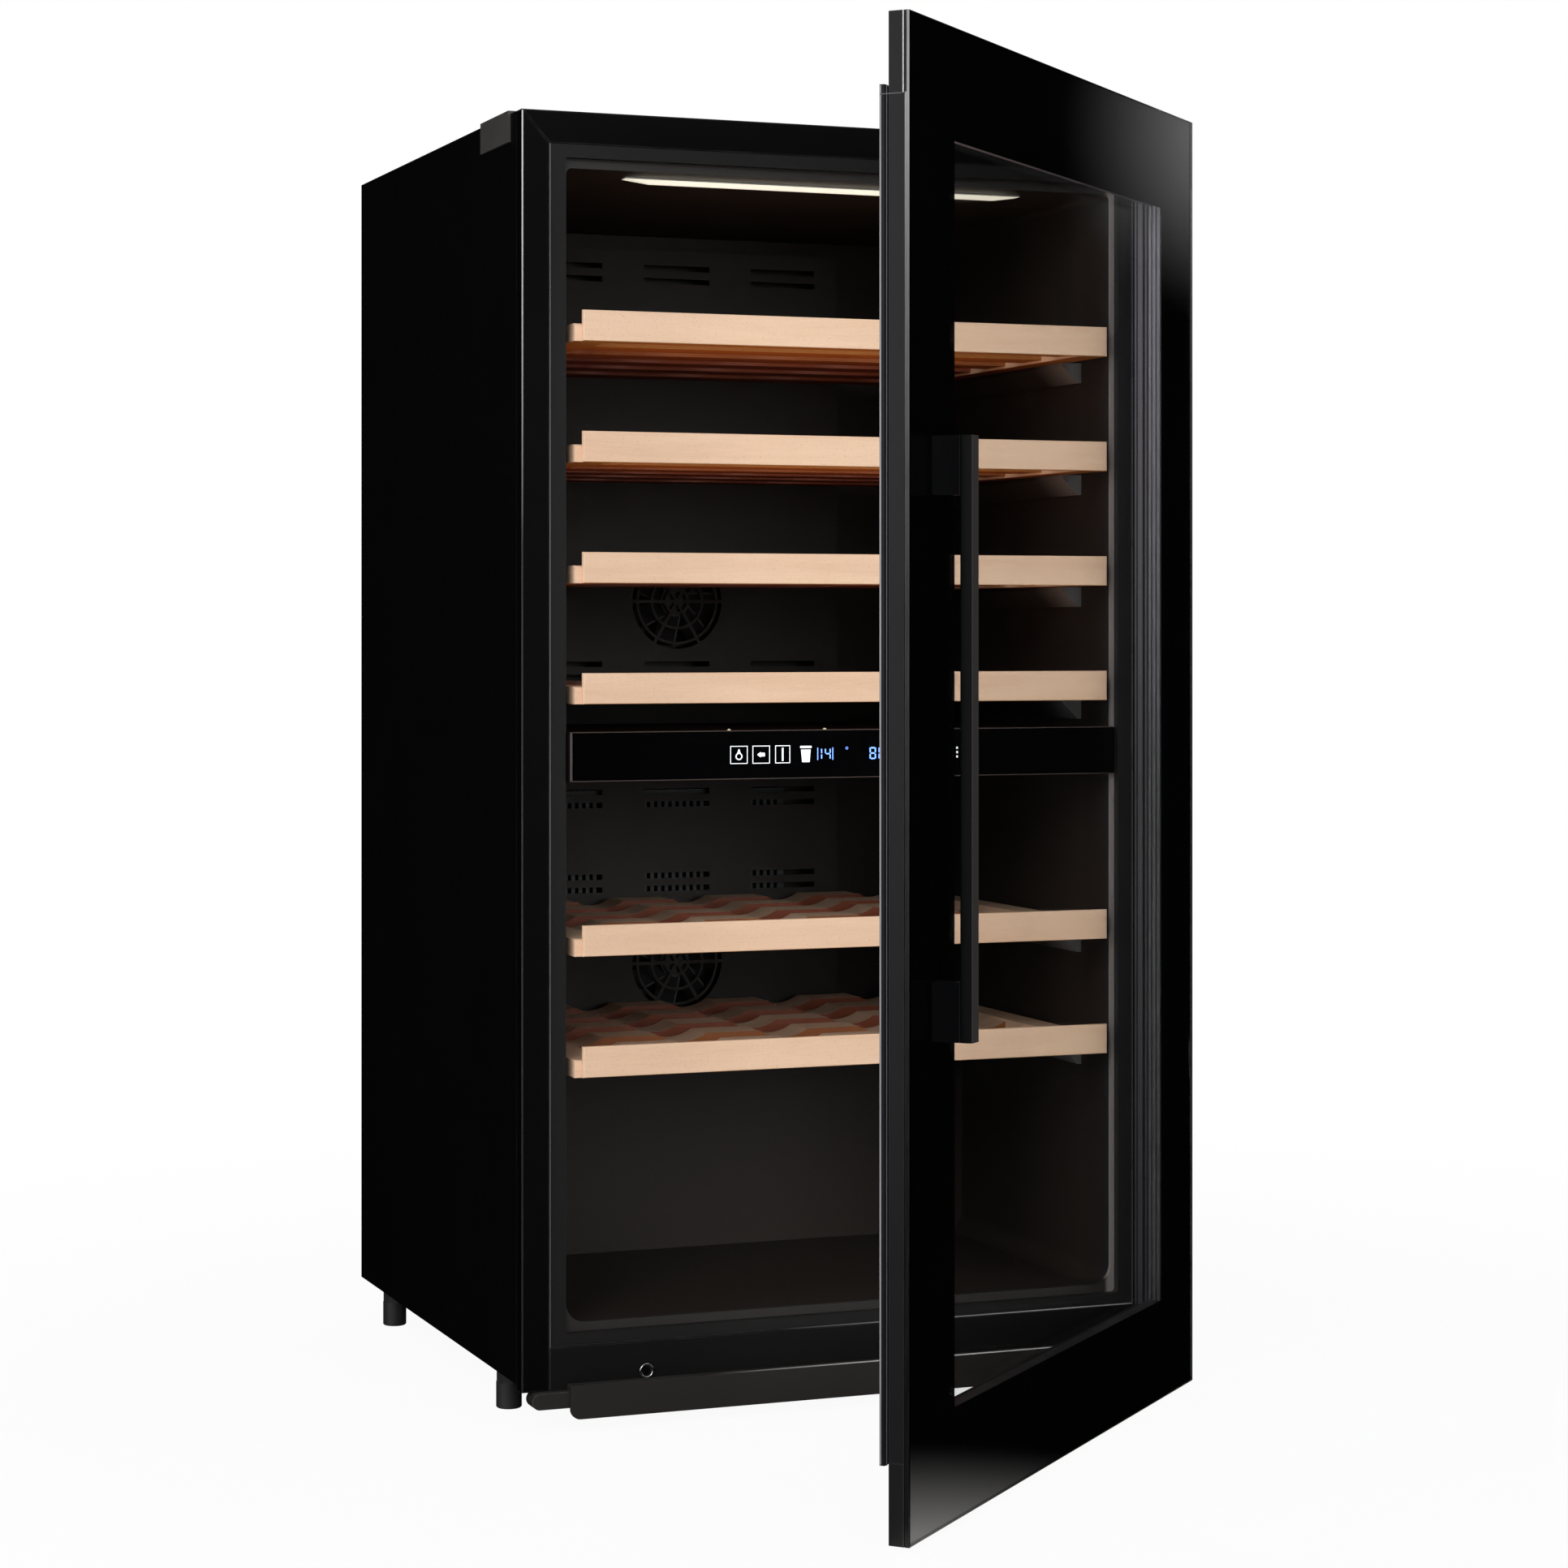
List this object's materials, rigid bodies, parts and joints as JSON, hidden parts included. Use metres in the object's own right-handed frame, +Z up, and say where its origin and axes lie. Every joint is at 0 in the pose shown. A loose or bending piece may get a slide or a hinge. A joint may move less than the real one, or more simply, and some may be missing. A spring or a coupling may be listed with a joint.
{
  "type": "wine cooler",
  "caption": "Built-in two-zone wine cooler with a framed glass door on the right, slatted wooden shelves on runners, a touch bar between the zones and a plinth",
  "frame": {"origin": "on the floor under the middle of the stored object's box, door open by 43.26 degrees; the middle of the cabinet's front-frame plane is at x -0.0109, y -0.0376 m", "axes": "+Z up, +Y from the front to the back of the cabinet, +X to the right seen from the front, where the door's hinges are"},
  "size_m": [0.5808, 0.9448, 1.06],
  "materials": {
    "casing_black": "satin",
    "frame_black": "satin",
    "liner_dark": "satin",
    "trim_grey": "satin",
    "foam": "matte",
    "sheet_steel": "satin",
    "bar_glass": "gloss",
    "circuit": "satin",
    "lamp_housing": "satin",
    "lamp_lens": "satin",
    "duct_plastic": "satin",
    "fins": "satin",
    "runner_grey": "satin",
    "beech": "satin",
    "compressor_black": "satin",
    "rubber_mount": "matte",
    "fan_plastic": "satin",
    "tray_plastic": "satin",
    "copper": "satin",
    "plinth_black": "satin",
    "bracket_grey": "satin",
    "hinge_steel": "satin",
    "foot_black": "satin",
    "door_glass": "gloss",
    "glass_border": "gloss",
    "pane_glass": "gloss",
    "door_profile": "satin",
    "spacer_bar": "satin",
    "gasket_rubber": "satin",
    "bush_plastic": "satin",
    "handle_black": "satin"
  },
  "bodies": {
    "cabinet": {"side_panel_left": "casing_black", "side_panel_right": "casing_black", "top_panel": "casing_black", "back_panel": "casing_black", "base_plate": "sheet_steel", "insulation": "foam", "inner_liner": "liner_dark", "machine_bay_wall": "sheet_steel", "frame_stiles": "frame_black", "frame_rail_top": "frame_black", "frame_rail_bottom": "frame_black", "frame_plug": "frame_black", "opening_trim": "trim_grey", "ceiling_lamp_housing": "lamp_housing", "ceiling_lamp_lens": "lamp_lens", "zone_divider": "duct_plastic", "control_glass": "bar_glass", "control_board": "circuit", "duct_cover_upper": "duct_plastic", "duct_cover_lower": "duct_plastic", "evaporators": "fins", "duct_fan_motors": "fan_plastic", "zone_sensors": "tray_plastic", "shelf_runners": "runner_grey", "compressor": "compressor_black", "compressor_mounts": "rubber_mount", "condenser": "fins", "condenser_fan_frame": "fan_plastic", "drain_tray": "tray_plastic", "refrigerant_pipes": "copper", "rear_cover": "casing_black", "power_inlet": "fan_plastic", "plinth_grille": "plinth_black", "base_brackets": "bracket_grey", "fixing_brackets": "bracket_grey", "hinge_plates": "hinge_steel", "hinge_screws": "hinge_steel"},
    "door": {"door_glass": "door_glass", "door_glass_border": "glass_border", "door_inner_pane": "pane_glass", "glazing_spacer": "spacer_bar", "door_stiles": "door_profile", "door_rails": "door_profile", "door_gasket": "gasket_rubber", "hinge_bushes": "bush_plastic", "handle_bar": "handle_black", "handle_blocks": "handle_black"},
    "shelf_1": {"shelf_1": "beech"},
    "shelf_2": {"shelf_2": "beech"},
    "shelf_3": {"shelf_3": "beech"},
    "shelf_4": {"shelf_4": "beech"},
    "shelf_5": {"shelf_5": "beech"},
    "shelf_6": {"shelf_6": "beech"},
    "fan_upper": {"fan_upper": "fan_plastic"},
    "fan_lower": {"fan_lower": "fan_plastic"},
    "condenser_fan": {"condenser_fan": "fan_plastic"},
    "foot_front_left": {"foot_front_left": "foot_black"},
    "foot_front_right": {"foot_front_right": "foot_black"},
    "foot_rear_left": {"foot_rear_left": "foot_black"},
    "foot_rear_right": {"foot_rear_right": "foot_black"}
  },
  "joints": [
    {"name": "door_hinge", "type": "hinge", "parent": "cabinet", "child": "door", "pos_m": [0.27664, -0.06461, 0.53], "axis": [0, 0, 1], "range_deg": [-43.26, 61.74]},
    {"name": "shelf_1_slide", "type": "slide", "parent": "cabinet", "child": "shelf_1", "axis": [0, -1, 0], "range_m": [0, 0.05]},
    {"name": "shelf_2_slide", "type": "slide", "parent": "cabinet", "child": "shelf_2", "axis": [0, -1, 0], "range_m": [0, 0.05]},
    {"name": "shelf_3_slide", "type": "slide", "parent": "cabinet", "child": "shelf_3", "axis": [0, -1, 0], "range_m": [0, 0.05]},
    {"name": "shelf_4_slide", "type": "slide", "parent": "cabinet", "child": "shelf_4", "axis": [0, -1, 0], "range_m": [0, 0.05]},
    {"name": "shelf_5_slide", "type": "slide", "parent": "cabinet", "child": "shelf_5", "axis": [0, -1, 0], "range_m": [0, 0.05]},
    {"name": "shelf_6_slide", "type": "slide", "parent": "cabinet", "child": "shelf_6", "axis": [0, -1, 0], "range_m": [0, 0.05]},
    {"name": "fan_upper_spin", "type": "hinge", "parent": "cabinet", "child": "fan_upper", "pos_m": [-0.01086, 0.39439, 0.66], "axis": [0, 1, 0], "continuous": true},
    {"name": "fan_lower_spin", "type": "hinge", "parent": "cabinet", "child": "fan_lower", "pos_m": [-0.01086, 0.39439, 0.325], "axis": [0, 1, 0], "continuous": true},
    {"name": "condenser_fan_spin", "type": "hinge", "parent": "cabinet", "child": "condenser_fan", "pos_m": [0.13914, 0.38239, 0.0975], "axis": [0, 1, 0], "continuous": true},
    {"name": "foot_front_left_turn", "type": "hinge", "parent": "cabinet", "child": "foot_front_left", "pos_m": [-0.26986, 0.05939, 0.02], "axis": [0, 0, 1], "continuous": true},
    {"name": "foot_front_right_turn", "type": "hinge", "parent": "cabinet", "child": "foot_front_right", "pos_m": [0.24814, 0.05939, 0.02], "axis": [0, 0, 1], "continuous": true},
    {"name": "foot_rear_left_turn", "type": "hinge", "parent": "cabinet", "child": "foot_rear_left", "pos_m": [-0.26986, 0.42239, 0.02], "axis": [0, 0, 1], "continuous": true},
    {"name": "foot_rear_right_turn", "type": "hinge", "parent": "cabinet", "child": "foot_rear_right", "pos_m": [0.24814, 0.42239, 0.02], "axis": [0, 0, 1], "continuous": true}
  ]
}
